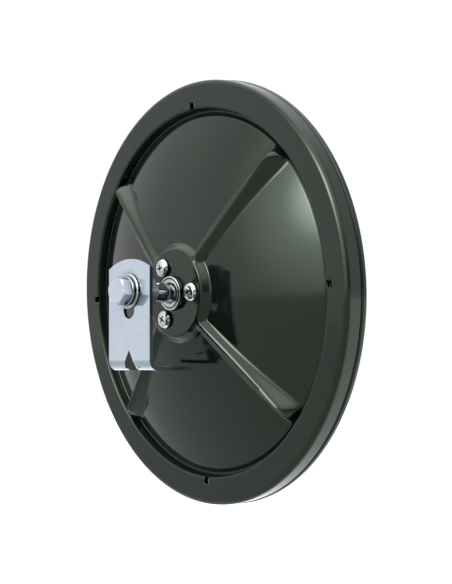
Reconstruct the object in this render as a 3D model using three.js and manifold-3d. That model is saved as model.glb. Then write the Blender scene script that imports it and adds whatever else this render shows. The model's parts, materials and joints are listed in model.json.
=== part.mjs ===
// Round convex mirror head on a ball stud and a slotted angle bracket.
// Millimetres, +Z up. The mirror faces -Y, and +Y is its back. The origin is on the underside of the
// bracket's flange, midway between its two screw holes.

import * as THREE from 'three';
import { mergeVertices } from 'three/addons/utils/BufferGeometryUtils.js';
import { ConvexGeometry } from 'three/addons/geometries/ConvexGeometry.js';
import Module from 'manifold-3d';

const wasm = await Module();
wasm.setup();

// ---------------------------------------------------------------- driving dimensions

const GAP = 0.15;                 // air between stacked faces
const FIT = 0.2;                  // air between spherical seats

// angle bracket
const SHEET = 2;
const BRACKET_WIDTH = 33;
const BRACKET_HEIGHT = 54.2;
const BRACKET_DEPTH = 26.5;
const BEND_RADIUS = 5;            // outside of the bend
const ARCH_RADIUS = 34;
const PLATE_FACE_Y = 15;          // outer face of the upright plate
const SLOT_WIDTH = 8.7;
const SLOT_TRAVEL = 9;
const DART_HEIGHT = 10;
const DART_DEPTH = 9;
const DART_HALF_WIDTH = 6;
const SCREW_HOLE_RADIUS = 3.3;
const SCREW_HOLE_SPREAD = 18;

// ball stud, tapped 5/16 inch
const STUD_HEIGHT = 38.5;         // stud axis above the flange's underside
const BALL_RADIUS = 6.35;
const NECK_RADIUS = 3;
const SHANK_RADIUS = 4.75;
const SHANK_START = 7.5;          // from the ball's centre
const HEX_BODY = { acrossFlats: 12.7, start: 16.5, chamfer: 1 };
const TAPPED_HOLE = { radius: 4.05, end: 17.5 };

// washers, bolt and nuts
const FLAT_WASHER = { outer: 8.65, inner: 4.3, thick: 1 };
const LOCK_WASHER = { outer: 7, inner: 4.15, thick: 1.4, gapDegrees: 12 };
const BOLT = { acrossFlats: 12.4, headHeight: 4.9, radius: 3.9, tip: 19, chamfer: 0.8, turn: 16 };
const SOCKET_NUT = { acrossFlats: 8.7, bore: 2.55, thick: 3.2, chamfer: 0.4, turn: 30 };

// mirror head: heights h are measured along +Y from the plane of the housing's flat outer ring
const RING_PLANE_Y = -28.8;
const HEAD_LEAN = 2.7;            // degrees, how far the head leans back on its ball at rest
const HEAD_YAW = 2;               // degrees, how far it looks to its own right
const BALL_H = 14;
const HOUSING_SHEET = 1.2;
const HUB_H = 16;
const HUB_RADIUS = 21.4;
const HUB_FOOT = 25.8;
const HUB_HOLE_RADIUS = 8.85;
const DOME_H = 13.3;
const DOME_CURVATURE = 242;
const RECESS_H = -4.9;
const RING_INNER = 94.1;
const HOUSING_RADIUS = 107.5;
const WALL_END_H = -8.2;
const NOTCH = { radius: 95.3, radial: 3.2, across: 3.2, depth: 1.9 };
const BEZEL_RADIUS = 108;
const SLEEVE_OUTER = 106;
const SLEEVE_INNER = 105.3;
const BEZEL_FRONT_H = -13.3;

const RIB_ANGLES = [42, 135, 222, 315];   // degrees from +X towards +Z: two lines that cross at 93 degrees
const RIB = { start: 20, end: 90.8, shoulder: 83.8, crestStart: 16, crestEnd: 4.7, halfStart: 4.5, halfEnd: 6.5 };

// socket
const SEAT_RADIUS = 7.4;
const LINER_EDGE_DEGREES = 52;    // polar angle where the liner ends, from the stud's axis
const COLLAR = { barrel: 8.55, flange: 10.6, top: 18.9, shoulder: 14.5, bottom: 13.4 };
const CUP = { outer: 8.4, top: 13.1, bottom: 5.6 };
const SPRING = { inner: 4.4, outer: 8.5, low: 3.65, high: 4.65, thick: 0.7 };
const SOCKET_PLATE = { outer: 21, well: 10.1, top: 12.8, bottom: 2.2, thick: 1.2 };
const SCREW_CIRCLE = 14.9;
const SCREW_COUNT = 3;
const SCREW = { head: 4.65, headHeight: 2.5, shank: 2.4, end: 6.4, hole: 2.75 };
const CROSS_RECESS = { across: 5, blade: 1, deep: 1.5 };

// glass and its seals
const GLASS = { radius: 103, thick: 2.2, curvature: 520, poleH: -20.3 };
const GASKET = { outer: 105, groove: 103.3, lip: 100.2, back: -6, front: -12.2 };
const FOAM = { inner: 88.5, outer: 97.5 };

// facet counts
const COLUMN_BUNCHING = 0.62;     // how far the housing's columns of facets crowd towards the ribs
const RIM_SEGMENTS = 48;
const HUB_SEGMENTS = 32;
const SCREW_SEGMENTS = 16;

// ---------------------------------------------------------------- materials

function paint(colour, roughness, metalness) {
  return new THREE.MeshStandardMaterial({ color: colour, roughness, metalness });
}

const BLACK_ENAMEL = paint(0x1b1d1c, 0.2, 0.1);
const ZINC = paint(0xc3cbd4, 0.3, 0.9);
const CHROME = paint(0xd8dcde, 0.12, 1);
const STEEL = paint(0x8f9294, 0.4, 0.9);
const SPRING_STEEL = paint(0x55585a, 0.4, 0.9);
const NYLON = paint(0xe4e2d8, 0.5, 0);
const RUBBER = paint(0x151515, 0.8, 0);
const FOAM_GREY = paint(0x4c4c4c, 0.95, 0);
const MIRROR = paint(0xdfe6e8, 0.03, 1);

// ---------------------------------------------------------------- mesh helpers

const radians = THREE.MathUtils.degToRad;
const ALONG_X = new THREE.Matrix4().makeBasis(
  new THREE.Vector3(0, 1, 0), new THREE.Vector3(0, 0, 1), new THREE.Vector3(1, 0, 0));
const ALONG_Y = new THREE.Matrix4().makeBasis(
  new THREE.Vector3(-1, 0, 0), new THREE.Vector3(0, 0, 1), new THREE.Vector3(0, 1, 0));

function signedVolume(position, index) {
  const a = new THREE.Vector3();
  const b = new THREE.Vector3();
  const c = new THREE.Vector3();
  let volume = 0;
  for (let i = 0; i < index.length; i += 3) {
    a.fromBufferAttribute(position, index[i]);
    b.fromBufferAttribute(position, index[i + 1]);
    c.fromBufferAttribute(position, index[i + 2]);
    volume += a.dot(b.cross(c)) / 6;
  }
  return volume;
}

// Merges shared vertices, drops triangles that have collapsed and turns the faces outwards.
function closedBody(source) {
  source.deleteAttribute('normal');
  source.deleteAttribute('uv');
  const merged = mergeVertices(source, 1e-4);
  const index = [];
  const from = merged.index.array;
  for (let i = 0; i < from.length; i += 3) {
    const [a, b, c] = [from[i], from[i + 1], from[i + 2]];
    if (a !== b && b !== c && c !== a) index.push(a, b, c);
  }
  if (signedVolume(merged.attributes.position, index) < 0) index.reverse();
  merged.setIndex(index);
  return merged;
}

function toManifold(geometry) {
  const body = closedBody(geometry);
  const vertProperties = new Float32Array(body.attributes.position.array);
  const triVerts = new Uint32Array(body.index.array);
  return new wasm.Manifold(new wasm.Mesh({ numProp: 3, vertProperties, triVerts }));
}

function fromManifold(manifold) {
  const mesh = manifold.getMesh();
  const geometry = new THREE.BufferGeometry();
  geometry.setAttribute('position', new THREE.BufferAttribute(new Float32Array(mesh.vertProperties), 3));
  geometry.setIndex(Array.from(mesh.triVerts));
  return geometry;
}

function cut(geometry, ...tools) {
  const solid = tools.reduce((rest, tool) => rest.subtract(toManifold(tool)), toManifold(geometry));
  return fromManifold(solid);
}

function meet(geometry, other) {
  return fromManifold(toManifold(geometry).intersect(toManifold(other)));
}

function join(geometry, other) {
  return fromManifold(toManifold(geometry).add(toManifold(other)));
}

function place(name, geometry, material, parent) {
  const mesh = new THREE.Mesh(geometry, material);
  mesh.name = name;
  parent.add(mesh);
  return mesh;
}

// Revolves [radius, height] points about Y.
function turned(profile, segments) {
  const points = profile.map(([r, h]) => new THREE.Vector2(r, h));
  return new THREE.LatheGeometry(points, segments);
}

function closedRing(profile, segments) {
  return turned([...profile, profile[0]], segments);
}

// A straight round hole along Y.
function bore(radius, low, high, segments) {
  return new THREE.CylinderGeometry(radius, radius, high - low, segments).translate(0, (low + high) / 2, 0);
}

// Points of a circular arc in the [radius, height] plane; 0 degrees points along +Y, 90 away from the axis.
function arc(centreH, radius, fromDegrees, toDegrees, steps) {
  return Array.from({ length: steps + 1 }, (_, i) => {
    const angle = radians(fromDegrees + (toDegrees - fromDegrees) * i / steps);
    return [Math.max(0, radius * Math.sin(angle)), centreH + radius * Math.cos(angle)];
  });
}

// ---------------------------------------------------------------- bracket

function angleSection() {
  const inner = PLATE_FACE_Y - SHEET;
  const tip = PLATE_FACE_Y - BRACKET_DEPTH;
  const section = new THREE.Shape();
  section.moveTo(tip, 0);
  section.lineTo(PLATE_FACE_Y - BEND_RADIUS, 0);
  section.absarc(PLATE_FACE_Y - BEND_RADIUS, BEND_RADIUS, BEND_RADIUS, -Math.PI / 2, 0, false);
  section.lineTo(PLATE_FACE_Y, BRACKET_HEIGHT);
  section.lineTo(inner, BRACKET_HEIGHT);
  section.lineTo(inner, BEND_RADIUS);
  section.absarc(PLATE_FACE_Y - BEND_RADIUS, BEND_RADIUS, BEND_RADIUS - SHEET, 0, -Math.PI / 2, true);
  section.lineTo(tip, SHEET);
  section.closePath();
  return section;
}

function archedOutline() {
  const half = BRACKET_WIDTH / 2;
  const centre = BRACKET_HEIGHT - ARCH_RADIUS;
  const corner = Math.acos(half / ARCH_RADIUS);
  const outline = new THREE.Shape();
  outline.moveTo(-half, -1);
  outline.lineTo(half, -1);
  outline.absarc(0, centre, ARCH_RADIUS, corner, Math.PI - corner, false);
  outline.closePath();
  return outline;
}

function slotOutline() {
  const radius = SLOT_WIDTH / 2;
  const slot = new THREE.Shape();
  slot.absarc(0, STUD_HEIGHT, radius, 0, Math.PI, false);
  slot.absarc(0, STUD_HEIGHT - SLOT_TRAVEL, radius, Math.PI, 2 * Math.PI, false);
  slot.closePath();
  return slot;
}

function dart(scale) {
  const depth = DART_DEPTH * scale;
  const half = DART_HALF_WIDTH * scale;
  return new ConvexGeometry([
    new THREE.Vector3(0, PLATE_FACE_Y, DART_HEIGHT * scale),
    new THREE.Vector3(0, PLATE_FACE_Y - depth, 0),
    new THREE.Vector3(half, PLATE_FACE_Y, 0),
    new THREE.Vector3(-half, PLATE_FACE_Y, 0),
  ]);
}

function bracket() {
  const depth = { depth: BRACKET_WIDTH + 2, bevelEnabled: false, curveSegments: 6 };
  const angle = new THREE.ExtrudeGeometry(angleSection(), depth).applyMatrix4(ALONG_X);
  angle.translate(-BRACKET_WIDTH / 2 - 1, 0, 0);
  const through = { depth: 2 * BRACKET_DEPTH, bevelEnabled: false, curveSegments: 20 };
  const outline = new THREE.ExtrudeGeometry(archedOutline(), through).applyMatrix4(ALONG_Y);
  outline.translate(0, -BRACKET_DEPTH, 0);
  const slot = new THREE.ExtrudeGeometry(slotOutline(), { ...through, curveSegments: 12 })
    .applyMatrix4(ALONG_Y);
  const holes = [-1, 1].map((side) => bore(SCREW_HOLE_RADIUS, -SHEET, 2 * SHEET, 24)
    .rotateX(Math.PI / 2).translate(side * SCREW_HOLE_SPREAD / 2, 0, 0));
  const dartWeb = 1.3;
  const webbed = join(meet(angle, outline), meet(dart(dartWeb), insideOfBend()));
  return cut(webbed, slot, dart(1), ...holes);
}

// The room on the inner side of the bracket's outer faces, which the dart's web has to stay in.
function insideOfBend() {
  const reach = BRACKET_DEPTH - SHEET;
  return new THREE.BoxGeometry(BRACKET_WIDTH, reach, reach)
    .translate(0, PLATE_FACE_Y - SHEET / 2 - reach / 2, SHEET / 2 + reach / 2);
}

// ---------------------------------------------------------------- stud and its fasteners

// Places along the stud, from the ball's centre; the first is the bracket plate's inner face.
const PLATE_BACK = PLATE_FACE_Y - SHEET - RING_PLANE_Y - BALL_H;
const PLATE_FRONT = PLATE_BACK + SHEET;
const FLAT_WASHER_START = PLATE_FRONT + GAP;
const LOCK_WASHER_START = FLAT_WASHER_START + FLAT_WASHER.thick + GAP;
const BOLT_HEAD_START = LOCK_WASHER_START + LOCK_WASHER.thick + GAP;

function ballStud() {
  const neckDegrees = THREE.MathUtils.radToDeg(Math.asin(NECK_RADIUS / BALL_RADIUS));
  const end = PLATE_BACK - GAP;
  const shank = turned([
    ...arc(0, BALL_RADIUS, 180, neckDegrees, 9),
    [NECK_RADIUS, SHANK_START - 0.6],
    [SHANK_RADIUS, SHANK_START],
    [SHANK_RADIUS, end],
    [0, end],
  ], HUB_SEGMENTS);
  const { acrossFlats, start, chamfer } = HEX_BODY;
  const hexBody = hexPrism(acrossFlats, end - start, chamfer, chamfer).translate(0, start, 0);
  const hole = bore(TAPPED_HOLE.radius, TAPPED_HOLE.end, end + 1, HUB_SEGMENTS);
  return cut(join(shank, hexBody), hole);
}

// A hexagon prism from height 0, with its two corner rings chamfered by their own depths.
function hexPrism(acrossFlats, thick, lowChamfer, highChamfer) {
  const corner = acrossFlats / Math.sqrt(3);
  const flat = acrossFlats / 2;
  const prism = new THREE.CylinderGeometry(corner, corner, thick, 6).rotateY(Math.PI / 2);
  prism.translate(0, thick / 2, 0);
  const envelope = turned([
    [0, 0], [lowChamfer ? flat : corner + 0.1, 0], [corner + 0.1, lowChamfer],
    [corner + 0.1, thick - highChamfer], [flat, thick], [0, thick],
  ], 24);
  return meet(prism, envelope);
}

// The hexagon-head bolt that clamps the bracket; its head's seat is at height 0.
function hexBolt() {
  const { acrossFlats, headHeight, radius, tip, chamfer, turn } = BOLT;
  const end = tip - BOLT_HEAD_START;
  const threaded = turned([
    [0, end], [radius - chamfer, end], [radius, end + chamfer], [radius, 1], [0, 1],
  ], HUB_SEGMENTS);
  return join(hexPrism(acrossFlats, headHeight, 0, chamfer).rotateY(-radians(turn)), threaded);
}

function flatWasher({ outer, inner, thick }) {
  return closedRing([[inner, 0], [outer, 0], [outer, thick], [inner, thick]], HUB_SEGMENTS);
}

function lockWasher({ outer, inner, thick, gapDegrees }) {
  const open = radians(gapDegrees) / 2;
  const ring = new THREE.Shape();
  ring.absarc(0, 0, outer, open, 2 * Math.PI - open, false);
  ring.absarc(0, 0, inner, 2 * Math.PI - open, open, true);
  ring.closePath();
  const flat = { depth: thick, bevelEnabled: false, curveSegments: 16 };
  return new THREE.ExtrudeGeometry(ring, flat).applyMatrix4(ALONG_Y);
}

function hexNut({ acrossFlats, bore: boreRadius, thick, chamfer, turn }) {
  const body = hexPrism(acrossFlats, thick, chamfer, chamfer).rotateY(radians(turn));
  return cut(body, bore(boreRadius, -1, thick + 1, 20));
}

// ---------------------------------------------------------------- socket

function ballLiner() {
  const inner = arc(0, BALL_RADIUS + FIT, 180, LINER_EDGE_DEGREES, 7);
  const outer = arc(0, SEAT_RADIUS - FIT, LINER_EDGE_DEGREES, 180, 7);
  return turned([...inner, ...outer], HUB_SEGMENTS);
}

function socketCollar() {
  const { barrel, flange, top, shoulder, bottom } = COLLAR;
  const mouthDegrees = THREE.MathUtils.radToDeg(Math.acos((top - BALL_H) / SEAT_RADIUS));
  return closedRing([
    ...arc(BALL_H, SEAT_RADIUS, 90, mouthDegrees, 4),
    [barrel - 1, top], [barrel, top - 1], [barrel, shoulder], [flange, shoulder], [flange, bottom],
    [SEAT_RADIUS, bottom],
  ], HUB_SEGMENTS);
}

function seatCup() {
  const { outer, top, bottom } = CUP;
  const rimDegrees = THREE.MathUtils.radToDeg(Math.acos((top - BALL_H) / SEAT_RADIUS));
  return turned([
    ...arc(BALL_H, SEAT_RADIUS, 180, rimDegrees, 6),
    [outer, top], [outer, 9.5], [6, bottom], [0, bottom],
  ], HUB_SEGMENTS);
}

function springWasher() {
  const { inner, outer, low, high, thick } = SPRING;
  return closedRing([[inner, high], [outer, low], [outer, low + thick], [inner, high + thick]], HUB_SEGMENTS);
}

function socketPlate(screwSpots) {
  const { outer, well, top, bottom, thick } = SOCKET_PLATE;
  const plate = turned([
    [0, bottom], [well - thick, bottom], [well, bottom + thick], [well, top - thick], [outer, top - thick],
    [outer, top], [well - thick, top], [well - thick, bottom + thick], [0, bottom + thick],
  ], HUB_SEGMENTS);
  const holes = screwSpots.map(([x, z]) => bore(SCREW.hole, 0, HUB_H, SCREW_SEGMENTS).translate(x, 0, z));
  return cut(plate, ...holes);
}

// A pan-head screw, its seat at height 0 and its head towards +Y.
function panScrew() {
  const { head, headHeight, shank, end } = SCREW;
  const { across, blade, deep } = CROSS_RECESS;
  const tip = end - HUB_H - GAP;
  const body = turned([
    [0, tip], [shank - 0.5, tip], [shank, tip + 0.5], [shank, 0], [head, 0], [head, headHeight * 0.4],
    [head * 0.86, headHeight * 0.78], [head * 0.55, headHeight], [0, headHeight],
  ], SCREW_SEGMENTS);
  const slots = [0, Math.PI / 2].map((turn) => new THREE.BoxGeometry(across, 2 * deep, blade)
    .rotateY(turn).translate(0, headHeight, 0));
  return cut(body, ...slots);
}

// ---------------------------------------------------------------- housing

function domeHeight(r) {
  return DOME_H - r * r / (2 * DOME_CURVATURE);
}

// Outer skin of the housing, from the hub's hole to the end of the side wall.
function housingSkin() {
  const hubWall = [HUB_RADIUS, 22.5, 23.6, 24.7, HUB_FOOT].map((r) => [r, plainHeight(r)]);
  const dome = [30, 45, 60, 75, 82, 86, 88.2, 89.8].map((r) => [r, domeHeight(r)]);
  return [
    [HUB_HOLE_RADIUS, HUB_H], [RIB.start, HUB_H],
    ...hubWall,
    ...dome,
    [90.9, RECESS_H + 0.2], [91.7, RECESS_H], [92.4, -4.3], [93.2, -0.9], [RING_INNER, 0],
    [105.2, -0.1], [106.8, -0.7], [HOUSING_RADIUS, -2.2], [HOUSING_RADIUS, WALL_END_H],
  ];
}

// Moves a polyline sideways by a distance, to its right as it runs, with mitred corners.
function offsetPath(path, distance) {
  const normals = path.slice(1).map(([r, h], i) => {
    const run = [r - path[i][0], h - path[i][1]];
    const length = Math.hypot(...run);
    return [run[1] / length, -run[0] / length];
  });
  return path.map(([r, h], i) => {
    const before = normals[Math.max(0, i - 1)];
    const after = normals[Math.min(i, normals.length - 1)];
    const sum = [before[0] + after[0], before[1] + after[1]];
    const scale = 2 * distance / (sum[0] ** 2 + sum[1] ** 2);
    return [r + sum[0] * scale, h + sum[1] * scale];
  });
}

// Height of the sheet without its ribs: the hub, its wall and the dome.
function plainHeight(r) {
  const wall = THREE.MathUtils.smoothstep(r, HUB_RADIUS, HUB_FOOT);
  return HUB_H + (domeHeight(Math.max(r, HUB_FOOT)) - HUB_H) * wall;
}

// How far a pressed rib lifts the sheet at a radius, and at a distance across from the rib's middle line.
function ribLift(r, across) {
  const { start, end, shoulder, crestStart, crestEnd, halfStart, halfEnd } = RIB;
  if (r <= start || r >= end) return 0;
  const along = (r - start) / (end - start);
  const half = halfStart + (halfEnd - halfStart) * along;
  if (Math.abs(across) >= half) return 0;
  const crest = Math.max(0, crestStart + (crestEnd - crestStart) * along - plainHeight(r));
  const fall = r < shoulder ? 1 : Math.sqrt(1 - ((r - shoulder) / (end - shoulder)) ** 2);
  return crest * fall * Math.cos(Math.PI / 2 * across / half) ** 2;
}

// Bunches the columns of a revolved sheet near the ribs, then lifts the ribs out of it.
function pressRibs(sheet) {
  const position = sheet.attributes.position;
  const point = new THREE.Vector3();
  const skew = radians(RIB_ANGLES[0] - 45) / 2;
  for (let i = 0; i < position.count; i += 1) {
    point.fromBufferAttribute(position, i);
    const r = Math.hypot(point.x, point.z);
    const turn = Math.atan2(point.z, point.x);
    const bunch = COLUMN_BUNCHING * Math.sin(4 * turn) / 4 + skew * (1 + Math.sin(2 * turn));
    const packed = r < RIB.end ? turn + bunch : turn;
    const across = RIB_ANGLES.map((degrees) => packed - radians(degrees))
      .filter((off) => Math.cos(off) > 0.9)
      .map((off) => r * Math.sin(off));
    const lift = across.length ? ribLift(r, across[0]) : 0;
    position.setXYZ(i, r * Math.cos(packed), point.y + lift, r * Math.sin(packed));
  }
  return sheet;
}

function rearHousing(screwSpots) {
  const skin = housingSkin();
  const lining = offsetPath(skin, HOUSING_SHEET).reverse();
  const sheet = pressRibs(closedBody(closedRing([...skin, ...lining], RIM_SEGMENTS)));
  const holes = screwSpots.map(([x, z]) => bore(SCREW.hole, HUB_H - 4, HUB_H + 2, SCREW_SEGMENTS)
    .translate(x, 0, z));
  const { radius, radial, across, depth } = NOTCH;
  const notches = [0, 1, 2, 3].map((quarter) => new THREE.BoxGeometry(radial, 2 * depth, across)
    .translate(radius, 0, 0).rotateY(quarter * Math.PI / 2));
  return cut(sheet, ...holes, ...notches);
}

// ---------------------------------------------------------------- rim, glass and seals

function glassFront(r) {
  return GLASS.poleH + r * r / (2 * GLASS.curvature);
}

function frontBezel() {
  const sleeveTop = -3;
  const seam = WALL_END_H - 0.7;
  const lip = 101.4;
  return closedRing([
    [SLEEVE_INNER, sleeveTop], [SLEEVE_OUTER, sleeveTop], [SLEEVE_OUTER, seam], [107.3, seam],
    [BEZEL_RADIUS, seam - 0.6], [BEZEL_RADIUS, -11.3], [107.2, -12.6], [105.6, BEZEL_FRONT_H],
    [lip, BEZEL_FRONT_H], [lip, GASKET.front - 0.3], [SLEEVE_INNER, GASKET.front - 0.3],
  ], RIM_SEGMENTS);
}

function mirrorGlass() {
  const radii = [0, 26, 52, 78, GLASS.radius];
  const front = radii.map((r) => [r, glassFront(r)]);
  const back = radii.map((r) => [r, glassFront(r) + GLASS.thick]).reverse();
  return turned([...front, ...back], RIM_SEGMENTS);
}

function rimGasket() {
  const { outer, groove, lip, back, front } = GASKET;
  const clear = 0.3;
  const behind = GLASS.thick + clear;
  return closedRing([
    [lip, front], [outer, front], [outer, back], [lip, back], [lip, glassFront(lip) + behind],
    [groove, glassFront(groove) + behind], [groove, glassFront(groove) - clear],
    [lip, glassFront(lip) - clear],
  ], RIM_SEGMENTS);
}

function foamRing() {
  const top = RECESS_H - HOUSING_SHEET - 0.3;
  const above = GLASS.thick + 0.3;
  const { inner, outer } = FOAM;
  return closedRing([
    [inner, glassFront(inner) + above], [outer, glassFront(outer) + above], [outer, top], [inner, top],
  ], RIM_SEGMENTS);
}

// ---------------------------------------------------------------- assembly

function addStud(parent) {
  const stud = new THREE.Group();
  stud.position.set(0, RING_PLANE_Y + BALL_H, STUD_HEIGHT);
  place('ball_stud', ballStud(), ZINC, stud);
  place('stud_flat_washer', closedBody(flatWasher(FLAT_WASHER)), ZINC, stud).position.y = FLAT_WASHER_START;
  place('stud_lock_washer', closedBody(lockWasher(LOCK_WASHER)), ZINC, stud).position.y = LOCK_WASHER_START;
  place('stud_bolt', hexBolt(), ZINC, stud).position.y = BOLT_HEAD_START;
  place('ball_liner', closedBody(ballLiner()), NYLON, stud);
  parent.add(stud);
}

function addSocket(head, screwSpots) {
  place('socket_collar', closedBody(socketCollar()), CHROME, head);
  place('seat_cup', closedBody(seatCup()), STEEL, head);
  place('spring_washer', closedBody(springWasher()), SPRING_STEEL, head);
  place('socket_plate', socketPlate(screwSpots), STEEL, head);
  const nutTop = SOCKET_PLATE.top - SOCKET_PLATE.thick - GAP;
  screwSpots.forEach(([x, z], i) => {
    place(`socket_screw_${i + 1}`, panScrew(), CHROME, head).position.set(x, HUB_H + GAP, z);
    place(`socket_nut_${i + 1}`, hexNut(SOCKET_NUT), STEEL, head)
      .position.set(x, nutTop - SOCKET_NUT.thick, z);
  });
}

function addShell(head, screwSpots) {
  place('rear_housing', rearHousing(screwSpots), BLACK_ENAMEL, head);
  place('front_bezel', closedBody(frontBezel()), BLACK_ENAMEL, head);
  place('mirror_glass', closedBody(mirrorGlass()), MIRROR, head);
  place('rim_gasket', closedBody(rimGasket()), RUBBER, head);
  place('foam_ring', closedBody(foamRing()), FOAM_GREY, head);
}

const screwSpots = Array.from({ length: SCREW_COUNT }, (_, i) => {
  const angle = Math.PI + i * 2 * Math.PI / SCREW_COUNT;
  return [SCREW_CIRCLE * Math.cos(angle), SCREW_CIRCLE * Math.sin(angle)];
});

const mirror = new THREE.Group();
place('l_bracket', bracket(), ZINC, mirror);
addStud(mirror);

const swung = new THREE.Group();
swung.position.set(0, RING_PLANE_Y + BALL_H, STUD_HEIGHT);
swung.rotation.set(-radians(HEAD_LEAN), 0, -radians(HEAD_YAW));
mirror.add(swung);

const head = new THREE.Group();
head.position.y = -BALL_H;
addSocket(head, screwSpots);
addShell(head, screwSpots);
swung.add(head);

export default mirror;
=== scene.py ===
"""Round convex mirror head on a ball stud and a slotted angle bracket, seen from behind."""

import json
import math

import bmesh
import bpy
from mathutils import Matrix, Vector


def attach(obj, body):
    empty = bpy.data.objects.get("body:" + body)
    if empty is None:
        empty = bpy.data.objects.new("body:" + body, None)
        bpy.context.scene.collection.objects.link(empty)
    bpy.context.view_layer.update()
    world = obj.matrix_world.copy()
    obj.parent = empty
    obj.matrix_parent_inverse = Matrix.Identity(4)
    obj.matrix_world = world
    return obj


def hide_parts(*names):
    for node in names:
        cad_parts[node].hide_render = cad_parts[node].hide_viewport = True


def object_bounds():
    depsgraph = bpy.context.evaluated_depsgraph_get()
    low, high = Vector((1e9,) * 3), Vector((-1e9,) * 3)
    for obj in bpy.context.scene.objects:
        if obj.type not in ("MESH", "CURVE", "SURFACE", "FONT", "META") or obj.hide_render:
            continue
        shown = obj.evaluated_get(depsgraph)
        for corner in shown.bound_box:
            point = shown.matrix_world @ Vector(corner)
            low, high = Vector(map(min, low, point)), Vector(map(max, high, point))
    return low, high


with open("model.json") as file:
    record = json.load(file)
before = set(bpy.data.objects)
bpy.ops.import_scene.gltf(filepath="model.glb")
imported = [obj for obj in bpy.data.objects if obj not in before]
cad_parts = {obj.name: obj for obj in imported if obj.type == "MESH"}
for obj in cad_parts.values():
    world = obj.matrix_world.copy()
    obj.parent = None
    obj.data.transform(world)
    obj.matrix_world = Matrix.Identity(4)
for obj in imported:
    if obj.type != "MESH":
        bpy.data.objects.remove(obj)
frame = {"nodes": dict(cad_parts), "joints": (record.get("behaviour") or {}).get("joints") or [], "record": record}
CAD_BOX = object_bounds()

MM = 0.001

# ------------------------------------------------------------------ places, from the frame

JOINTS = {joint["name"]: joint for joint in frame["joints"]}
BALL = Vector(JOINTS["head_tilt"]["pos_m"])
BALL_H = 14.0                       # ball's centre above the plane of the housing's flat ring
HEAD_LEAN = math.radians(2.7)       # how far the head leans back on its ball at rest
HEAD_YAW = math.radians(2.0)        # how far it looks to its own right
HEAD = (
    Matrix.Translation(BALL)
    @ Matrix.Rotation(-HEAD_LEAN, 4, "X")
    @ Matrix.Rotation(-HEAD_YAW, 4, "Z")
    @ Matrix.Translation((0, -BALL_H * MM, 0))
    @ Matrix.Scale(MM, 4)
)
STUD = Matrix.Translation(BALL) @ Matrix.Scale(MM, 4)
ROW = Matrix.Scale(MM, 4)

# ------------------------------------------------------------------ sizes, in millimetres

# names ending in _H are heights along the head's axis, above the plane of the housing's flat ring
HOUSING_SHEET = 1.2
HUB_H = 16.0
HUB_HOLE = 8.85
HUB_RADIUS = 21.4
HUB_FOOT = 25.8                     # where the hub's wall meets the dome
DOME_H = 13.3                       # height the dome would have on the axis
DOME_CURVATURE = 242.0
DOME_RADIUS = 89.8                  # where the dome turns down into the recess
RECESS_H = -4.9
RECESS_FLOOR = (91.4, 92.2)         # inner and outer radius of the recess's floor
RING = (93.5, 105.4)                # inner and outer radius of the flat ring
WALL_TOP_H = -1.2
WALL_END_H = -8.2
HOUSING_RADIUS = 107.5
RIB_ANGLES = [math.radians(a) for a in (42, 135, 222, 315)]      # from +X towards +Z
RIB = dict(
    start=20.0, end=90.8, shoulder=83.8,        # radii where it starts, ends and begins to fall
    crest_start=16.0, crest_end=4.7,            # height of its crest
    half_start=4.5, half_end=6.5,               # half of its width
)
NOTCH = dict(radius=95.2, radial=3.6, deep=4.6, across=3.2)

BEZEL_RADIUS = 107.9
BEZEL_INSIDE = 101.4
BEZEL_FRONT_H = -13.3
BEZEL_LIP_H = -12.5                 # the side of the front lip that faces the glass
TONGUE = (105.3, 106.0)             # the bezel's tongue inside the housing's wall
TONGUE_END_H = -3.0

GLASS = dict(radius=103.0, thick=2.2, curvature=520.0, pole=-20.25)
GASKET = dict(inside=100.2, outside=105.0, groove=103.3, front=-12.2, back=-6.0)
FOAM = (88.5, 97.5)
SOFT_GAP = 0.3                      # clearance around the glass, the gasket and the foam

SOCKET = dict(seat=7.4, mouth=4.9, radius=8.55, top=18.7, flange=10.6, flange_top=14.5, back=13.4)
LINER = (6.55, 7.2)
LINER_MOUTH = 52                    # degrees from the stud's axis to the liner's edge
SCREW_CIRCLE = 14.9
SCREW = dict(length=9.7, shank=2.4, head=4.65, top=2.5)
CROSS = dict(half=2.1, deep=1.9, thick=0.9)

# the stud and its fasteners: radii, and widths across flats
BALL_RADIUS = 6.35
NECK_RADIUS = 3.0
SHANK_RADIUS = 4.75
HEX_ACROSS = 12.7
TAPPED_RADIUS = 4.05
FLAT_WASHER_RADII = (4.3, 8.65)
LOCK_WASHER_RADII = (4.15, 7.0)
BOLT_ACROSS = 12.4
BOLT_RADIUS = 3.9
BOLT_ROOT = 3.3                     # radius at the bottom of the bolt's thread
BOLT_TURN = math.radians(16)        # how far one corner of its head is from +X
THREAD_PITCH = 1.41
# the same: where each starts and ends along the stud, from the ball's centre
HEX_BODY = (16.5, 27.65)
TAPPED_END = 17.5
FLAT_WASHER = (29.95, 30.95)
LOCK_WASHER = (31.1, 32.5)
BOLT_HEAD = (32.65, 37.55)
BOLT_TIP = 19.0

BRACKET_WIDTH = 33.0
BRACKET_HEIGHT = 54.2
BRACKET_DEPTH = 26.5
BRACKET_SHEET = 2.0
PLATE_FACE_Y = 15.0
BEND_RADIUS = 5.0
ARCH_RADIUS = 34.0
SLOT_WIDTH = 8.7
SLOT_TRAVEL = 9.0
STUD_HEIGHT = 38.5
FOOT_HOLES = (-9, 9)
FOOT_HOLE_RADIUS = 3.3
DART = dict(half=6.0, depth=9.0, height=10.0)
EDGE_ROUNDING = 0.42


# ------------------------------------------------------------------ mesh helpers

def blend(start, end, along):
    """The value a fraction of the way from start to end."""
    return start + (end - start) * along


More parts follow.
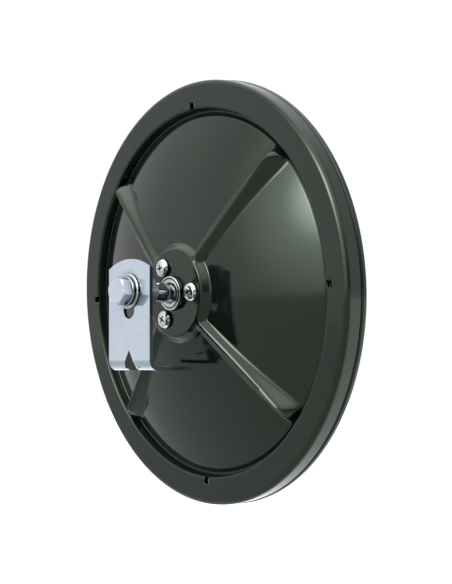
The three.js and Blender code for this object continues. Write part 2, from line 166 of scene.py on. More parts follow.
def rounded(corners, steps=6):
    """Points of an open path; each corner is (r, h) or (r, h, fillet radius)."""
    path = []
    last = len(corners) - 1
    for i, corner in enumerate(corners):
        here = Vector(corner[:2])
        fillet = corner[2] if len(corner) > 2 else 0
        if fillet == 0 or i in (0, last):
            path.append(here)
            continue
        before = (Vector(corners[i - 1][:2]) - here).normalized()
        after = (Vector(corners[i + 1][:2]) - here).normalized()
        half = before.angle(after) / 2
        reach = fillet / math.tan(half)
        centre = here + (before + after).normalized() * fillet / math.sin(half)
        start = here + before * reach - centre
        turn = start.angle_signed(here + after * reach - centre)
        for k in range(steps + 1):
            path.append(centre + Matrix.Rotation(-turn * k / steps, 2) @ start)
    return [tuple(p) for p in path]


def rounded_loop(corners, steps=6):
    """The same for a closed outline, starting in the middle of its first side."""
    first, second = Vector(corners[0][:2]), Vector(corners[1][:2])
    middle = tuple((first + second) / 2)
    return rounded([middle, *corners[1:], corners[0], middle], steps)[:-1]


def dense(path, longest):
    """Adds points to the long runs of a path."""
    out = [path[0]]
    for start, end in zip(path, path[1:]):
        run = Vector(end) - Vector(start)
        count = max(1, math.ceil(run.length / longest))
        out += [tuple(Vector(start) + run * (k + 1) / count) for k in range(count)]
    return out


def offset_path(path, distance):
    """Moves an open path to its right by a distance."""
    out = []
    for i, point in enumerate(path):
        before = Vector(path[max(i - 1, 0)])
        after = Vector(path[min(i + 1, len(path) - 1)])
        run = (after - before).normalized()
        out.append((point[0] + run.y * distance, point[1] - run.x * distance))
    return out


def add_object(name, mesh, place):
    mesh.transform(place)
    piece = bpy.data.objects.new(name, mesh)
    bpy.context.scene.collection.objects.link(piece)
    return piece


def to_mesh(name, bm, sharp_degrees=35):
    bmesh.ops.remove_doubles(bm, verts=bm.verts, dist=1e-4)
    bmesh.ops.recalc_face_normals(bm, faces=bm.faces)
    mesh = bpy.data.meshes.new(name)
    bm.to_mesh(mesh)
    bm.free()
    mesh.shade_smooth()
    mesh.set_sharp_from_angle(angle=math.radians(sharp_degrees))
    return mesh


def grid_body(rings, wrap):
    """A bmesh skinned over rings of points; wrap joins the last ring to the first."""
    bm = bmesh.new()
    rows = [[bm.verts.new(p) for p in ring] for ring in rings]
    count = len(rows[0])
    pairs = list(zip(rows, rows[1:] + rows[:1])) if wrap else list(zip(rows, rows[1:]))
    for low, high in pairs:
        for i in range(count):
            j = (i + 1) % count
            bm.faces.new((low[i], low[j], high[j], high[i]))
    return bm


def turned(name, outline, columns, place, shape=None, sharp_degrees=35):
    """Revolves [radius, height] points about Y. An outline that starts and ends on the axis is open."""
    closed = outline[0][0] > 1e-6
    rings = []
    for r, h in outline:
        ring = []
        for i in range(columns):
            angle = 2 * math.pi * i / columns
            rr, hh = shape(r, h, angle) if shape else (r, h)
            ring.append((rr * math.cos(angle), hh, rr * math.sin(angle)))
        rings.append(ring)
    return add_object(name, to_mesh(name, grid_body(rings, closed), sharp_degrees), place)


def arc(centre_h, radius, start, end, steps):
    """Arc points; 0 degrees points along +Y and 90 away from the axis."""
    turns = [math.radians(blend(start, end, i / steps)) for i in range(steps + 1)]
    return [(max(0.0, radius * math.sin(t)), centre_h + radius * math.cos(t)) for t in turns]


def prism(name, outline, low, high, place):
    """A straight body from a closed outline in its own XY plane, from z = low to z = high."""
    rings = [[(x, y, z) for x, y in outline] for z in (low, high)]
    bm = grid_body(rings, False)
    bm.verts.ensure_lookup_table()
    count = len(outline)
    bm.faces.new(bm.verts[:count])
    bm.faces.new(bm.verts[count:])
    return add_object(name, to_mesh(name, bm), place)


def block(name, size, place):
    half = [s / 2 for s in size]
    outline = [(-half[0], -half[1]), (half[0], -half[1]), (half[0], half[1]), (-half[0], half[1])]
    return prism(name, outline, -half[2], half[2], place)


def bake(piece):
    """Applies a piece's modifiers."""
    bpy.context.view_layer.update()
    shaped = piece.evaluated_get(bpy.context.evaluated_depsgraph_get())
    mesh = bpy.data.meshes.new_from_object(shaped)
    piece.modifiers.clear()
    piece.data = mesh
    return piece


def combine(piece, tools, operation):
    """Cuts, joins or meets a piece with tools, and removes the tools."""
    for tool in tools:
        step = piece.modifiers.new(operation, "BOOLEAN")
        step.operation = operation
        step.solver = "EXACT"
        step.object = tool
    bake(piece)
    for tool in tools:
        bpy.data.objects.remove(tool)
    return piece


def soften(piece, width, segments=3, angle=30):
    """Rounds a piece's sharp edges."""
    step = piece.modifiers.new("edges", "BEVEL")
    step.width = width
    step.segments = segments
    step.limit_method = "ANGLE"
    step.angle_limit = math.radians(angle)
    step.miter_outer = "MITER_ARC"
    step.harden_normals = True
    bake(piece)
    return piece


# ------------------------------------------------------------------ materials

class Nodes:
    """A small helper to lay out the nodes of one material, or of the world."""

    def __init__(self, owner, shader, coordinates):
        owner.use_nodes = True
        self.owner = owner
        self.tree = owner.node_tree
        self.shader = self.tree.nodes[shader]
        self.place = self.add("ShaderNodeTexCoord").outputs[coordinates]

    def add(self, kind, **settings):
        node = self.tree.nodes.new(kind)
        for key, value in settings.items():
            setattr(node, key, value)
        return node

    def link(self, source, target):
        self.tree.links.new(source, target)

    def noise(self, scale, detail=3.0, stretch=None):
        texture = self.add("ShaderNodeTexNoise")
        texture.inputs["Scale"].default_value = scale
        texture.inputs["Detail"].default_value = detail
        if stretch:
            mapping = self.add("ShaderNodeMapping")
            mapping.inputs["Scale"].default_value = stretch
            self.link(self.place, mapping.inputs["Vector"])
            self.link(mapping.outputs["Vector"], texture.inputs["Vector"])
        else:
            self.link(self.place, texture.inputs["Vector"])
        return texture.outputs["Fac"]

    def spread(self, value, low, high, start=0.3, end=0.7):
        node = self.add("ShaderNodeMapRange")
        for key, number in (("From Min", start), ("From Max", end), ("To Min", low), ("To Max", high)):
            node.inputs[key].default_value = number
        self.link(value, node.inputs["Value"])
        return node.outputs["Result"]

    def mix(self, factor, first, second):
        node = self.add("ShaderNodeMix", data_type="RGBA")
        self.link(factor, node.inputs["Factor"])
        for socket, colour in ((node.inputs[6], first), (node.inputs[7], second)):
            if isinstance(colour, tuple):
                socket.default_value = (*colour, 1)
            else:
                self.link(colour, socket)
        return node.outputs[2]

    def edges(self, start=0.52, end=0.6):
        geometry = self.add("ShaderNodeNewGeometry")
        return self.spread(geometry.outputs["Pointiness"], 0.0, 1.0, start, end)

    def bump(self, height, strength, distance):
        node = self.add("ShaderNodeBump")
        node.inputs["Strength"].default_value = strength
        node.inputs["Distance"].default_value = distance
        self.link(height, node.inputs["Height"])
        self.link(node.outputs["Normal"], self.shader.inputs["Normal"])

    def set(self, **values):
        for key, value in values.items():
            socket = self.shader.inputs[key.replace("_", " ")]
            if isinstance(value, bpy.types.NodeSocket):
                self.link(value, socket)
            else:
                socket.default_value = value
        return self.owner


def surface(name):
    return Nodes(bpy.data.materials.new(name), "Principled BSDF", "Object")


def enamel():
    """Glossy black baked enamel with a faint orange peel and a little rubbing on its edges."""
    m = surface("black_enamel")
    cloud = m.noise(14, 4)
    colour = m.mix(m.spread(cloud, 0, 1), (0.003, 0.0046, 0.0032), (0.0045, 0.0068, 0.005))
    worn = m.mix(m.spread(m.edges(0.55, 0.65), 0, 0.3, 0, 1), colour, (0.03, 0.033, 0.031))
    m.bump(m.noise(420, 2), 0.02, 0.0003)
    return m.set(
        Base_Color=worn, Roughness=m.spread(m.noise(60, 4), 0.07, 0.12), IOR=1.48,
        Specular_Tint=(0.82, 1.0, 0.84, 1))


# the way one steep face of the bracket's dart looks; the other's has the opposite x; faces turned so are painted
# dark, as painted shade
DART_FACING = Vector((1 / DART["half"], 1 / DART["depth"], -1 / DART["height"])).normalized()
# painted shade for the dart's two steep faces
DART_SHADE_COLOUR = (0.07, 0.076, 0.06)
# painted shade, put into hollows where the ambient occlusion is low
HOLLOW_SHADE_COLOUR = (0.1, 0.11, 0.1)


def plated(name, light, dark, rough, grain, grain_strength):
    """Bright plated steel: rolled grain, cloudy roughness, rubbed edges, and painted shade in hollows and on the
    dart's steep faces.
    """
    m = surface(name)
    cloud = m.noise(90, 5)
    clean = m.mix(m.spread(cloud, 0, 1), dark, light)
    # painted shade: ambient occlusion darkens the colour in hollows and creases
    shade_occlusion = m.add("ShaderNodeAmbientOcclusion", samples=8)
    shade_occlusion.inputs["Distance"].default_value = 0.012
    colour = m.mix(m.spread(shade_occlusion.outputs["AO"], 0, 1, 0.5, 0.85), HOLLOW_SHADE_COLOUR, clean)
    # painted shade: faces turned like the dart's steep faces get a dark colour
    for side in (1, -1):
        facing = m.add("ShaderNodeVectorMath", operation="DOT_PRODUCT")
        facing.inputs[1].default_value = (side * DART_FACING.x, DART_FACING.y, DART_FACING.z)
        m.link(m.add("ShaderNodeNewGeometry").outputs["True Normal"], facing.inputs[0])
        dart_shade_mask = m.spread(facing.outputs["Value"], 0, 1, 0.95, 0.985)
        colour = m.mix(dart_shade_mask, colour, DART_SHADE_COLOUR)
    worn = m.mix(m.spread(m.edges(), 0, 0.5, 0, 1), colour, tuple(min(1, c * 1.06) for c in light))
    m.bump(m.noise(1, 3, grain), grain_strength, 0.0002)
    return m.set(Base_Color=worn, Metallic=1.0, Roughness=m.spread(m.noise(160, 4), *rough))


def dull(name, light, dark, rough, scale, strength, metallic=0.0):
    """A plain material with a fine grain, for rubber, foam, nylon and bare pressed steel."""
    m = surface(name)
    colour = m.mix(m.spread(m.noise(scale, 5), 0, 1), dark, light)
    worn = m.mix(m.spread(m.edges(), 0, 0.4, 0, 1), colour, tuple(min(1, c * 1.3) for c in light))
    m.bump(m.noise(scale * 6, 4), strength, 0.0003)
    return m.set(Base_Color=worn, Metallic=metallic, Roughness=m.spread(m.noise(scale * 2), *rough))


def silvered():
    """Second-surface mirror: very smooth, with a faint haze."""
    m = surface("silvered_glass")
    colour = m.mix(m.spread(m.noise(9, 4), 0, 1), (0.86, 0.89, 0.9), (0.9, 0.92, 0.93))
    m.bump(m.noise(25, 2), 0.01, 0.0002)
    return m.set(Base_Color=colour, Metallic=1.0, Roughness=m.spread(m.noise(40, 5), 0.015, 0.04))


MATERIALS = {
    "black_enamel": enamel(),
    "zinc_plate": plated(
        "zinc_plate", (0.57, 0.63, 0.71), (0.5, 0.57, 0.67), (0.08, 0.15), (900, 900, 60), 0.03),
    "zinc_fastener": plated(
        "zinc_fastener", (0.64, 0.69, 0.75), (0.55, 0.61, 0.68), (0.1, 0.18), (500, 500, 500), 0.04),
    "chrome": plated(
        "chrome", (0.7, 0.72, 0.74), (0.6, 0.62, 0.64), (0.05, 0.1), (300, 300, 300), 0.02),
    "plain_steel": dull(
        "plain_steel", (0.5, 0.51, 0.52), (0.4, 0.41, 0.42), (0.3, 0.45), 120, 0.1, 1.0),
    "spring_steel": dull(
        "spring_steel", (0.3, 0.31, 0.33), (0.2, 0.21, 0.23), (0.3, 0.45), 150, 0.1, 1.0),
    "nylon": dull(
        "nylon", (0.8, 0.79, 0.74), (0.72, 0.7, 0.64), (0.45, 0.6), 90, 0.08),
    "gasket_rubber": dull(
        "gasket_rubber", (0.03, 0.03, 0.03), (0.018, 0.018, 0.018), (0.6, 0.8), 200, 0.2),
    "foam": dull(
        "foam", (0.1, 0.1, 0.1), (0.05, 0.05, 0.05), (0.9, 1.0), 400, 0.6),
    "silvered_glass": silvered(),
}


def finish_piece(piece, slot, body, *nodes):
    """Gives a piece its material and slot, makes it ride on a body and stand for its CAD nodes."""
    piece.data.materials.clear()
    piece.data.materials.append(MATERIALS[slot])
    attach(piece, body)
    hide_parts(*nodes)


# ------------------------------------------------------------------ housing and rim

def dome_height(r):
    return DOME_H - r * r / (2 * DOME_CURVATURE)


def plain_height(r):
    """Height of the sheet without its ribs: the hub, its wall and the dome."""
    wall = min(1.0, max(0.0, (r - HUB_RADIUS) / (HUB_FOOT - HUB_RADIUS)))
    wall *= wall * (3 - 2 * wall)
    return HUB_H + (dome_height(max(r, HUB_FOOT)) - HUB_H) * wall


def rib_lift(r, across):
    """How far a pressed rib lifts the sheet, at a distance across from the rib's middle line."""
    if not RIB["start"] < r < RIB["end"]:
        return 0
    along = (r - RIB["start"]) / (RIB["end"] - RIB["start"])
    half = blend(RIB["half_start"], RIB["half_end"], along)
    if abs(across) >= half:
        return 0
    crest = max(0.0, blend(RIB["crest_start"], RIB["crest_end"], along) - plain_height(r))
    fall = 1
    if r > RIB["shoulder"]:
        fall = math.sqrt(1 - ((r - RIB["shoulder"]) / (RIB["end"] - RIB["shoulder"])) ** 2)
    return crest * fall * math.cos(math.pi / 2 * across / half) ** 2


def pressed(r, h, angle):
    """A shape for turned() that lifts the nearest rib out of the sheet."""
    turns = [(angle - rib + math.pi) % (2 * math.pi) - math.pi for rib in RIB_ANGLES]
    return r, h + rib_lift(r, r * math.sin(min(turns, key=abs)))


def housing_skin():
    """The outside of the sheet, with rows closer together over the hub than over the dome."""
    hub = [(r / 2, plain_height(r / 2)) for r in range(18, 68)]
    dome = [(r, dome_height(r)) for r in range(34, 90)]
    rim = rounded([
        (DOME_RADIUS, dome_height(DOME_RADIUS)),
        (RECESS_FLOOR[0], RECESS_H, 0.9), (RECESS_FLOOR[1], RECESS_H, 0.6),
        (RING[0], 0, 1.3), (RING[1], -0.1, 3.0),
        (HOUSING_RADIUS, WALL_TOP_H, 1.6), (HOUSING_RADIUS, WALL_END_H),
    ])
    return [(HUB_HOLE, HUB_H)] + hub + dense(dome + rim, 1.2)


def rear_housing():
    skin = housing_skin()
    lining = offset_path(skin, HOUSING_SHEET)[::-1]
    piece = turned("rear_housing_pressing", skin + lining, 480, HEAD, pressed)
    tools = []
    for i in range(4):
        turn = Matrix.Rotation(i * math.pi / 2, 4, "Y") @ Matrix.Translation((NOTCH["radius"], 0, 0))
        size = (NOTCH["radial"], NOTCH["deep"], NOTCH["across"])
        tools.append(block(f"notch_{i}", size, HEAD @ turn))
    combine(piece, tools, "DIFFERENCE")
    finish_piece(piece, "black_enamel", "head", "rear_housing")


def front_bezel():
    inner, outer = TONGUE
    seam = WALL_END_H - 0.7
    outline = rounded_loop([
        (inner, TONGUE_END_H, 0.3), (outer, TONGUE_END_H, 0.3), (outer, seam),
        (BEZEL_RADIUS - 0.7, seam, 0.5), (BEZEL_RADIUS, seam - 0.7, 0.6),
        (BEZEL_RADIUS, BEZEL_FRONT_H + 1.9, 1.4), (BEZEL_RADIUS - 1.7, BEZEL_FRONT_H, 1.6),
        (BEZEL_INSIDE, BEZEL_FRONT_H, 0.4), (BEZEL_INSIDE, BEZEL_LIP_H, 0.3), (inner, BEZEL_LIP_H, 0.3),
    ])
    piece = turned("front_bezel_rolled", outline, 384, HEAD)
    finish_piece(piece, "black_enamel", "head", "front_bezel")


def glass_front(r):
    """Height of the glass's front face, which bulges forwards in its middle."""
    return GLASS["pole"] + r * r / (2 * GLASS["curvature"])


def mirror_glass():
    radii = [GLASS["radius"] * i / 40 for i in range(41)]
    front = [(r, glass_front(r)) for r in radii]
    back = [(r, glass_front(r) + GLASS["thick"]) for r in reversed(radii)]
    piece = turned("mirror_glass_convex", front + back, 256, HEAD)
    finish_piece(piece, "silvered_glass", "head", "mirror_glass")


def rim_gasket():
    inside, outside, groove = GASKET["inside"], GASKET["outside"], GASKET["groove"]
    behind = GLASS["thick"] + SOFT_GAP
    outline = rounded_loop([
        (inside, GASKET["front"], 0.4), (outside, GASKET["front"], 0.4),
        (outside, GASKET["back"], 0.5), (inside, GASKET["back"], 0.5),
        (inside, glass_front(inside) + behind, 0.3), (groove, glass_front(groove) + behind),
        (groove, glass_front(groove) - SOFT_GAP), (inside, glass_front(inside) - SOFT_GAP, 0.3),
    ], 4)
    piece = turned("rim_gasket_channel", outline, 256, HEAD)
    finish_piece(piece, "gasket_rubber", "head", "rim_gasket")


def foam_ring():
    inner, outer = FOAM
    above = GLASS["thick"] + SOFT_GAP
    top = RECESS_H - HOUSING_SHEET - SOFT_GAP
    outline = rounded_loop([
        (inner, glass_front(inner) + above, 0.5), (outer, glass_front(outer) + above, 0.5),
        (outer, top, 0.5), (inner, top, 0.5),
    ], 3)
    piece = turned("foam_ring_strip", outline, 192, HEAD)
    finish_piece(piece, "foam", "head", "foam_ring")


# ------------------------------------------------------------------ socket

def socket_collar():
    """A flanged ring round the ball, with a groove turned in its outer face."""
    seat_radius, radius, flange = SOCKET["seat"], SOCKET["radius"], SOCKET["flange"]
    top, flange_top, back = SOCKET["top"], SOCKET["flange_top"], SOCKET["back"]
    mouth = math.degrees(math.acos(SOCKET["mouth"] / seat_radius))
    seat = arc(BALL_H, seat_radius, 90, mouth, 16)
    groove = top - 0.6
    outside = rounded([
        seat[-1], (7.0, top + 0.2, 0.3), (7.2, groove, 0.2), (7.5, groove, 0.1), (7.7, top, 0.25),
        (radius, top, 0.3), (radius, flange_top, 0.2), (flange, flange_top, 0.3), (flange, back, 0.3),
        (seat_radius, back),
    ], 5)
    piece = turned("socket_collar_ring", seat + outside[1:], 128, HEAD)
    finish_piece(piece, "chrome", "socket", "socket_collar")


def ball_liner():
    inner = arc(0, LINER[0], 180, LINER_MOUTH, 32)
    outer = arc(0, LINER[1], LINER_MOUTH, 180, 32)
    piece = turned("ball_liner_cup", inner + outer, 96, STUD)
    finish_piece(piece, "nylon", "liner", "ball_liner")


def cross_tools(place):
    """The two crossing wedges of a cross recess, narrower at the bottom."""
    half, deep, thick = CROSS["half"], CROSS["deep"], CROSS["thick"]
    side = [(half, 0.6), (half - 0.2, -0.3), (half - 1, -deep)]
    wedge = [(-half, 0.6)] + side + [(-x, y) for x, y in side[:0:-1]]
    tools = []
    for i in range(2):
        turned_place = place @ Matrix.Rotation(i * math.pi / 2, 4, "Y")
        tools.append(prism(f"cross_{i}", wedge, -thick / 2, thick / 2, turned_place))
    return tools


def socket_screws():
    """Three pan-headed screws round the socket, each turned a little further than the last."""
    shank, length, head, top = SCREW["shank"], SCREW["length"], SCREW["head"], SCREW["top"]
    outline = rounded([
        (0, -length), (shank - 0.5, -length), (shank, 0.5 - length), (shank, 0),
        (head, 0, 0.15), (head, 0.9, 0.7), (head - 0.75, top - 0.35, 1.6), (2.2, top, 2.0), (0, top),
    ], 5)
    for i in range(3):
        angle = math.pi + i * 2 * math.pi / 3
        x, z = SCREW_CIRCLE * math.cos(angle), SCREW_CIRCLE * math.sin(angle)
        turn = Matrix.Rotation(0.35 + 0.7 * i, 4, "Y")
        place = HEAD @ Matrix.Translation((x, HUB_H + 0.15, z)) @ turn
        piece = turned(f"socket_screw_pan_{i + 1}", outline, 64, place)
        lift = Matrix.Translation((0, top, 0))
        combine(piece, cross_tools(place @ lift), "DIFFERENCE")
        soften(piece, 0.07 * MM, 2, 40)
        finish_piece(piece, "chrome", "head", f"socket_screw_{i + 1}")


# ------------------------------------------------------------------ stud and its fasteners

def hexagon(across, low, high, chamfers):
    """A shape for turned() that makes a hexagon of the rows wider than its flats."""
    flat = across / 2

    def shape(r, h, angle):
        if r <= flat:
            return r, h
        side = flat / math.cos(angle % (math.pi / 3) - math.pi / 6)
        drop = (side - flat) * 0.55
        if h < (low + high) / 2:
            return side, h + drop * chamfers[0]
        return side, h - drop * chamfers[1]

    return shape


def thread_rows(r, low, high):
    """Ten rows a turn of the thread, on a cylinder of radius r."""
    steps = math.ceil(abs(high - low) / THREAD_PITCH * 10)
    return [(r, blend(low, high, i / steps)) for i in range(steps + 1)]


def thread_depth(h, angle):
    """How far a thread's flank has risen, from 0 in the groove to 1 on the crest."""
    phase = (h / THREAD_PITCH - angle / (2 * math.pi)) % 1
    return min(1, 2.4 * min(phase, 1 - phase))


def ball_stud():
    """The ball, its neck and shank, and a hexagonal body tapped for the bolt."""
    neck = math.degrees(math.asin(NECK_RADIUS / BALL_RADIUS))
    ball = arc(0, BALL_RADIUS, 180, neck, 40)
    low, high = HEX_BODY
    face = HEX_ACROSS / 2 - 0.05
    hole = TAPPED_RADIUS
    shank = rounded([
        ball[-1], (NECK_RADIUS, 6.6, 0.5), (SHANK_RADIUS, 7.5, 0.5), (SHANK_RADIUS, low, 0.3),
        (face, low),
    ], 5)
    hex_rows = [(7, low), (7, high), (face, high), (hole + 0.5, high)]
    thread = thread_rows(hole, high - 0.5, TAPPED_END + 0.7)
    hexagonal = hexagon(HEX_ACROSS, low, high, (1, 1))

    def shape(r, h, angle):
        if r == hole:
            return hole + 0.45 * thread_depth(h, angle), h
        return hexagonal(r, h, angle)

    outline = ball + shank[1:] + hex_rows + thread + [(3.4, TAPPED_END), (0, TAPPED_END)]
    piece = turned("ball_stud_turned", outline, 120, STUD, shape, 28)
    finish_piece(piece, "zinc_fastener", "stud", "ball_stud")


def stud_bolt():
    """A hexagon-headed bolt, threaded to just short of its head."""
    low, high = BOLT_HEAD
    face = BOLT_ACROSS / 2 - 0.1
    thread_end = low - 1.2
    thread = thread_rows(BOLT_RADIUS, BOLT_TIP + 0.8, thread_end)
    head = [(4, low), (face, low), (7, low), (7, high), (face, high), (face - 0.5, high)]
    hexagonal = hexagon(BOLT_ACROSS, low, high, (0, 1))

    def shape(r, h, angle):
        if r == BOLT_RADIUS and h < thread_end:
            return blend(BOLT_ROOT, BOLT_RADIUS, thread_depth(h, angle)), h
        return hexagonal(r, h, angle)

    outline = [(0, BOLT_TIP), (3.1, BOLT_TIP)] + thread + [(4, low - 0.4)] + head + [(0, high)]
    corner = Matrix.Rotation(-BOLT_TURN, 4, "Y")
    piece = turned("stud_bolt_hex", outline, 120, STUD @ corner, shape, 20)
    soften(piece, 0.16 * MM, 3, 20)
    finish_piece(piece, "zinc_fastener", "stud", "stud_bolt")


def flat_washer():
    low, high = FLAT_WASHER
    inner, outer = FLAT_WASHER_RADII
    outline = rounded_loop([
        (inner, low, 0.15), (outer, low, 0.15), (outer, high, 0.4), (inner, high, 0.3),
    ], 4)
    piece = turned("stud_flat_washer_disc", outline, 128, STUD)
    finish_piece(piece, "zinc_fastener", "stud", "stud_flat_washer")


def lock_washer():
    """A split ring whose section climbs a little from one end to the other."""
    low, high = LOCK_WASHER
    inner, outer = LOCK_WASHER_RADII
    climb = 0.15
    thick = high - low - climb
    start, end = math.radians(6), math.radians(354)
    skew = math.radians(9)
    steps = 96
    section = rounded_loop([
        (inner, 0, 0.2), (outer, 0, 0.25), (outer, thick, 0.25), (inner, thick, 0.2),
    ], 3)
    rings = []
    for i in range(steps + 1):
        angle = blend(start, end, i / steps)
        ring = []
        for r, h in section:
            turn = angle + skew * (h / thick - 0.5)
            ring.append((r * math.cos(turn), low + h + climb * i / steps, r * math.sin(turn)))
        rings.append(ring)
    bm = grid_body(rings, False)
    bm.verts.ensure_lookup_table()
    bm.faces.new(bm.verts[:len(section)])
    bm.faces.new(bm.verts[-len(section):])
    piece = add_object("stud_lock_washer_split", to_mesh("stud_lock_washer_split", bm, 40), STUD)
    finish_piece(piece, "zinc_fastener", "stud", "stud_lock_washer")


# ------------------------------------------------------------------ bracket

def arc_points(x, y, radius, start, end, steps):
    """Arc points in a plane; 0 degrees points along its first axis and 90 along its second."""
    turns = [math.radians(blend(start, end, i / steps)) for i in range(steps + 1)]
    return [(x + radius * math.cos(t), y + radius * math.sin(t)) for t in turns]


ALONG_X = Matrix(((0, 0, 1, 0), (1, 0, 0, 0), (0, 1, 0, 0), (0, 0, 0, 1)))      # outlines in Y and Z
ALONG_Y = Matrix(((-1, 0, 0, 0), (0, 0, 1, 0), (0, 1, 0, 0), (0, 0, 0, 1)))     # outlines in X and Z


def bent_strip():
    """The sheet bent into an L, a little wider than the bracket."""
    tip = PLATE_FACE_Y - BRACKET_DEPTH
    inner = PLATE_FACE_Y - BRACKET_SHEET
    centre = PLATE_FACE_Y - BEND_RADIUS
    half = BRACKET_WIDTH / 2 + 1
    section = [(tip, 0)] + arc_points(centre, BEND_RADIUS, BEND_RADIUS, -90, 0, 20)
    section += [(PLATE_FACE_Y, BRACKET_HEIGHT), (inner, BRACKET_HEIGHT)]
    section += arc_points(centre, BEND_RADIUS, BEND_RADIUS - BRACKET_SHEET, 0, -90, 20)
    section.append((tip, BRACKET_SHEET))
    return prism("l_bracket_sheet", section, -half, half, ROW @ ALONG_X)


def bracket_outline():
    """The bracket's front view, straight-sided with an arched top."""
    half = BRACKET_WIDTH / 2
    corner = math.degrees(math.acos(half / ARCH_RADIUS))
    outline = [(-half, -1), (half, -1)]
    outline += arc_points(0, BRACKET_HEIGHT - ARCH_RADIUS, ARCH_RADIUS, corner, 180 - corner, 48)
    return prism("arch", outline, -BRACKET_DEPTH, BRACKET_DEPTH, ROW @ ALONG_Y)


def bracket_holes():
    """The upright slot for the bolt and the two round holes in the foot."""
    slot = arc_points(0, STUD_HEIGHT, SLOT_WIDTH / 2, 0, 180, 32)
    slot += arc_points(0, STUD_HEIGHT - SLOT_TRAVEL, SLOT_WIDTH / 2, 180, 360, 32)
    tools = [prism("slot", slot, 0, 2 * BRACKET_DEPTH, ROW @ ALONG_Y)]
    for x in FOOT_HOLES:
        hole = arc_points(x, 0, FOOT_HOLE_RADIUS, 0, 360, 48)[:-1]
        tools.append(prism("hole", hole, -BRACKET_SHEET, BRACKET_SHEET + 3, ROW))
    return tools


def l_bracket():
    piece = bent_strip()
    combine(piece, [bracket_outline()], "INTERSECT")
    tools = bracket_holes()
    web = dart("dart_web", 1.3)         # the dart's inner side, about 1.3 mm further in
    inside = Matrix.Translation((0, PLATE_FACE_Y - 12, 12))
    combine(web, [block("room", (BRACKET_WIDTH, 22, 22), ROW @ inside)], "INTERSECT")
    combine(piece, [web], "UNION")
    combine(piece, tools + [dart("dart_dent", 1.0)], "DIFFERENCE")
    soften(piece, EDGE_ROUNDING * MM, 3, 28)
    finish_piece(piece, "zinc_plate", "bracket", "l_bracket")


def dart(name, scale):
    """The four-cornered body of the pressed dart, scaled about the bracket's outer corner."""
    bm = bmesh.new()
    half, depth, height = DART["half"], DART["depth"], DART["height"]
    points = [(0, 0, height), (0, -depth, 0), (half, 0, 0), (-half, 0, 0)]
    corners = [bm.verts.new((x * scale, PLATE_FACE_Y + y * scale, z * scale)) for x, y, z in points]
    for a, b, c in ((0, 1, 2), (0, 3, 1), (0, 2, 3), (1, 3, 2)):
        bm.faces.new((corners[a], corners[b], corners[c]))
    return add_object(name, to_mesh(name, bm), ROW)


# ------------------------------------------------------------------ stage, light and camera

FLOOR_NEAR = (0.95, 0.95, 0.95)
# painted shade: the floor's darker half, seen only in reflections on the enamel and plated parts
FLOOR_PAINTED_SHADE = (0.33, 0.345, 0.335)
SURROUNDINGS = 1.02                 # brightness of the white surroundings
# direction, cosine where it starts, how it fades, strength; a negative one is a dark screen
SOFT_LAMPS = [
    ((0.12, 0.94, 0.36), 0.8, 3.0, 3.6),
    ((0.12, 0.94, 0.36), 0.97, 2.0, 11.0),
    ((0.1, 0.1, 1.0), 0.6, 2.0, 2.0),
    ((-0.5, 0.5, 0.8), 0.75, 2.0, 1.6),
    ((-0.9, 0.42, -0.25), 0.75, 0.6, -1.0),
    ((0.98, 0.1, 0.1), 0.85, 1.0, -0.3),
]
VIEW_ROLL = math.radians(3.2)       # how far the view is rolled about the head's own axis
VIEW = dict(azimuth=231.05, elevation=1.16, roll=-0.17, distance=0.6313, lens=76.9)
VIEW_AIM = Vector((-0.0112, -0.0227, 0.0004))       # from the ball's centre, in the head's frame


def stage():
    """A wide floor well below the object, pale in front of its mirror and darker behind it; the darker half is
    painted shade for the enamel and plated parts to reflect.
    """
    low = CAD_BOX[0][2] - 0.35
    bm = bmesh.new()
    bmesh.ops.create_grid(bm, x_segments=2, y_segments=2, size=8)
    floor = add_object("floor", to_mesh("floor", bm), Matrix.Translation((0, 0, low)))
    m = surface("floor_pale")
    gradient = m.add("ShaderNodeSeparateXYZ")
    m.link(m.place, gradient.inputs[0])
    shade = m.mix(m.spread(gradient.outputs["Y"], 0, 1, -0.5, 0.2), FLOOR_NEAR, FLOOR_PAINTED_SHADE)
    floor.data.materials.append(m.set(Base_Color=shade, Roughness=0.9))


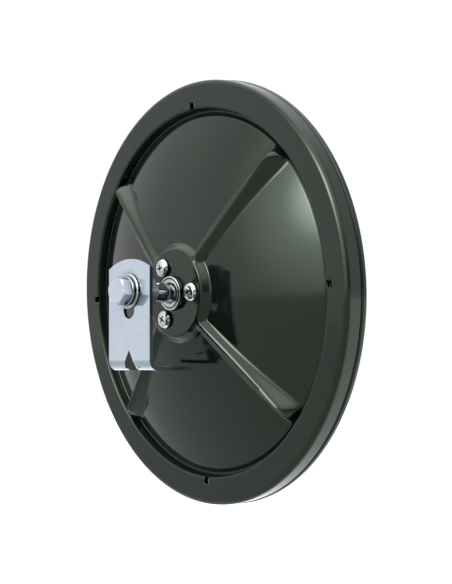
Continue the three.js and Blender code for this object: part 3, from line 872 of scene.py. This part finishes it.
def studio():
    """Even white surroundings with soft lamps and dark screens in them, which fade out."""
    world = bpy.data.worlds.new("studio")
    bpy.context.scene.world = world
    m = Nodes(world, "Background", "Generated")
    total = None
    for toward, start, power, strength in SOFT_LAMPS:
        spot = m.add("ShaderNodeVectorMath", operation="DOT_PRODUCT")
        m.link(m.place, spot.inputs[0])
        spot.inputs[1].default_value = Vector(toward).normalized()
        fade = m.add("ShaderNodeMath", operation="POWER")
        m.link(m.spread(spot.outputs["Value"], 0, 1, start, 1), fade.inputs[0])
        fade.inputs[1].default_value = power
        scaled = m.add("ShaderNodeMath", operation="MULTIPLY_ADD")
        m.link(fade.outputs[0], scaled.inputs[0])
        scaled.inputs[1].default_value = strength
        if total is None:
            scaled.inputs[2].default_value = SURROUNDINGS
        else:
            m.link(total, scaled.inputs[2])
        total = scaled.outputs[0]
    m.set(Strength=total, Color=(1, 1, 1, 1))


def camera():
    """A long lens behind the head, placed in the frame of the head at rest."""
    azimuth, elevation, roll = (math.radians(VIEW[key]) for key in ("azimuth", "elevation", "roll"))
    back = Vector((math.sin(azimuth), -math.cos(azimuth), 0)) * math.cos(elevation)
    back.z = math.sin(elevation)
    right = Vector((0, 0, 1)).cross(back).normalized()
    up = back.cross(right)
    turned_right = right * math.cos(roll) + up * math.sin(roll)
    turned_up = up * math.cos(roll) - right * math.sin(roll)
    facing = Matrix((turned_right, turned_up, back)).transposed().to_4x4()
    swing = (
        Matrix.Rotation(-HEAD_LEAN, 4, "X")
        @ Matrix.Rotation(-VIEW_ROLL, 4, "Y")
        @ Matrix.Rotation(-HEAD_YAW, 4, "Z")
    )
    lens = bpy.data.cameras.new("view")
    lens.sensor_fit = "VERTICAL"
    lens.sensor_height = 36
    lens.lens = VIEW["lens"]
    lens.clip_start = 0.01
    view = bpy.data.objects.new("view", lens)
    stand = Matrix.Translation(VIEW_AIM + back * VIEW["distance"])
    view.matrix_world = Matrix.Translation(BALL) @ swing @ stand @ facing
    bpy.context.scene.collection.objects.link(view)
    bpy.context.scene.camera = view


# ------------------------------------------------------------------ the model

rear_housing()
front_bezel()
mirror_glass()
rim_gasket()
foam_ring()
socket_collar()
ball_liner()
socket_screws()
ball_stud()
flat_washer()
lock_washer()
stud_bolt()
l_bracket()

# the CAD's own objects get the same materials
SLOTS = {part["node"]: part["material_slot"] for part in frame["record"]["subparts"]}
for name, node in frame["nodes"].items():
    node.data.materials.clear()
    node.data.materials.append(MATERIALS[SLOTS[name]])

stage()
studio()
camera()
bpy.context.scene.view_settings.view_transform = "Standard"
